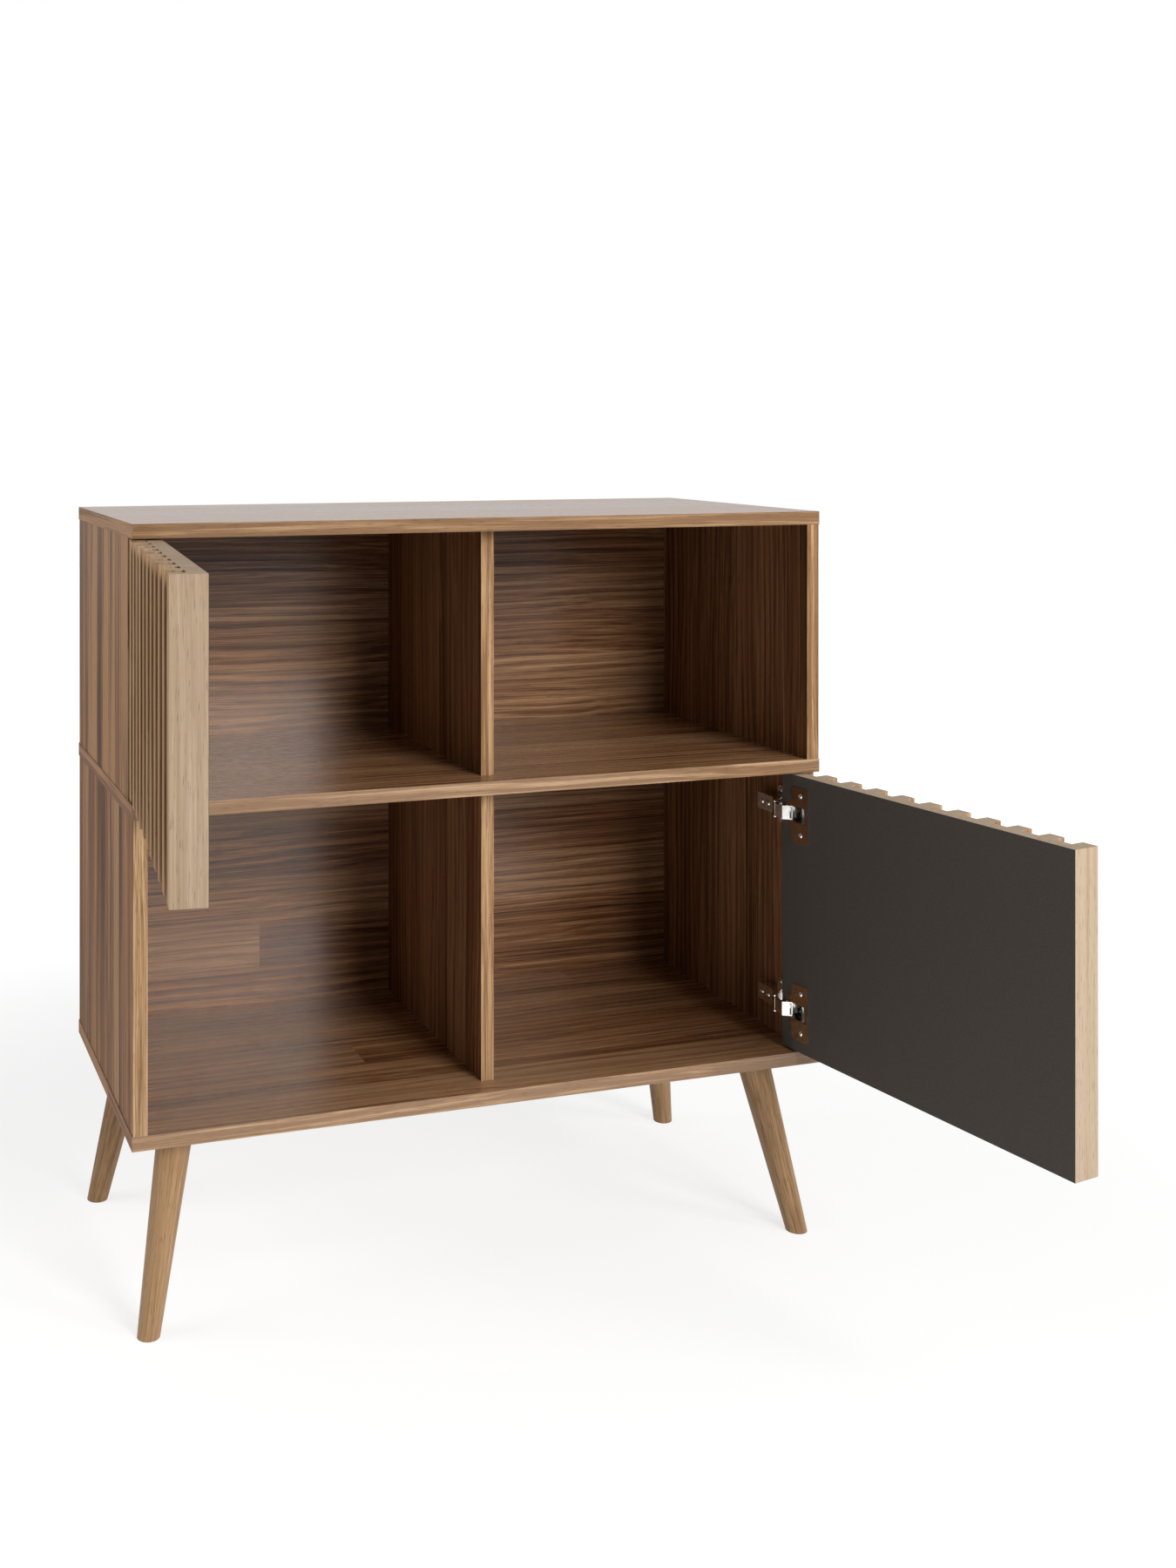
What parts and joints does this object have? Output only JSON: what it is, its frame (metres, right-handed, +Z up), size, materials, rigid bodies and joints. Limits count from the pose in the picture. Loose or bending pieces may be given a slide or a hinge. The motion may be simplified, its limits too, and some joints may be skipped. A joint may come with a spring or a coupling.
{
  "type": "cube storage unit",
  "caption": "Free-standing cube storage unit on splayed tapered legs, with open cells and ribbed doors on cup hinges that swing outward.",
  "frame": {"origin": "on the floor, under the middle of the whole outline with both doors standing open as pictured", "axes": "+X to the right as seen from the front, +Y to the back, +Z up"},
  "size_m": [0.9042, 0.7234, 0.832],
  "materials": {
    "carcass_board": "satin walnut-look board with grain",
    "back_board": "satin walnut-look thin board",
    "door_board": "matte dark inner face",
    "batten_wood": "satin walnut-look battens, grain upright",
    "leg_wood": "satin stained solid wood",
    "dowel_wood": "plain beech",
    "hinge_steel": "bright nickel plate",
    "fastener_steel": "zinc-plated steel"
  },
  "bodies": {
    "carcass": {"top_panel": "carcass_board", "middle_shelf": "carcass_board", "bottom_panel": "carcass_board", "upper_back_panel": "back_board", "lower_back_panel": "back_board", "leg_bolts": "fastener_steel", "leg_insert_nuts": "fastener_steel", "upper_left_side": "carcass_board", "upper_divider": "carcass_board", "upper_right_side": "carcass_board", "lower_left_side": "carcass_board", "lower_divider": "carcass_board", "lower_right_side": "carcass_board", "leg_front_left": "leg_wood", "leg_front_right": "leg_wood", "leg_back_left": "leg_wood", "leg_back_right": "leg_wood", "upper_dowels": "dowel_wood", "lower_dowels": "dowel_wood", "upper_door_top_hinge_plate": "hinge_steel", "upper_door_top_hinge_arm": "hinge_steel", "upper_door_bottom_hinge_plate": "hinge_steel", "upper_door_bottom_hinge_arm": "hinge_steel", "upper_door_arm_pins": "fastener_steel", "upper_door_arm_screws": "fastener_steel", "upper_door_plate_screws": "fastener_steel", "lower_door_top_hinge_plate": "hinge_steel", "lower_door_top_hinge_arm": "hinge_steel", "lower_door_bottom_hinge_plate": "hinge_steel", "lower_door_bottom_hinge_arm": "hinge_steel", "lower_door_arm_pins": "fastener_steel", "lower_door_arm_screws": "fastener_steel", "lower_door_plate_screws": "fastener_steel"},
    "upper_door": {"upper_door_panel": "door_board", "upper_door_battens": "batten_wood", "upper_door_top_hinge_cup": "hinge_steel", "upper_door_bottom_hinge_cup": "hinge_steel", "upper_door_cup_screws": "fastener_steel", "upper_door_cup_pins": "fastener_steel"},
    "upper_door_links": {"upper_door_top_hinge_link": "hinge_steel", "upper_door_bottom_hinge_link": "hinge_steel"},
    "lower_door": {"lower_door_panel": "door_board", "lower_door_battens": "batten_wood", "lower_door_top_hinge_cup": "hinge_steel", "lower_door_bottom_hinge_cup": "hinge_steel", "lower_door_cup_screws": "fastener_steel", "lower_door_cup_pins": "fastener_steel"},
    "lower_door_links": {"lower_door_top_hinge_link": "hinge_steel", "lower_door_bottom_hinge_link": "hinge_steel"}
  },
  "joints": [
    {"name": "upper_door_swing", "type": "hinge", "parent": "carcass", "child": "upper_door_links", "pos_m": [-0.3747, 0.04393, 0.682], "axis": [0, 0, -1], "range_deg": [-3.32, 53.09]},
    {"name": "upper_door_cup_turn", "type": "hinge", "parent": "upper_door_links", "child": "upper_door", "pos_m": [-0.3833, 0.021, 0.682], "axis": [0, 0, -1], "range_deg": [-149.11, 9.34]},
    {"name": "lower_door_swing", "type": "hinge", "parent": "carcass", "child": "lower_door_links", "pos_m": [0.3493, 0.04393, 0.372], "axis": [0, 0, 1], "range_deg": [-1.11, 55.3]},
    {"name": "lower_door_cup_turn", "type": "hinge", "parent": "lower_door_links", "child": "lower_door", "pos_m": [0.357, 0.02068, 0.372], "axis": [0, 0, 1], "range_deg": [-155.32, 3.13]}
  ],
  "couplings": [
    {"joint": "upper_door_cup_turn", "follows": "upper_door_swing", "ratio": -2.8083},
    {"joint": "lower_door_cup_turn", "follows": "lower_door_swing", "ratio": -2.8083}
  ]
}
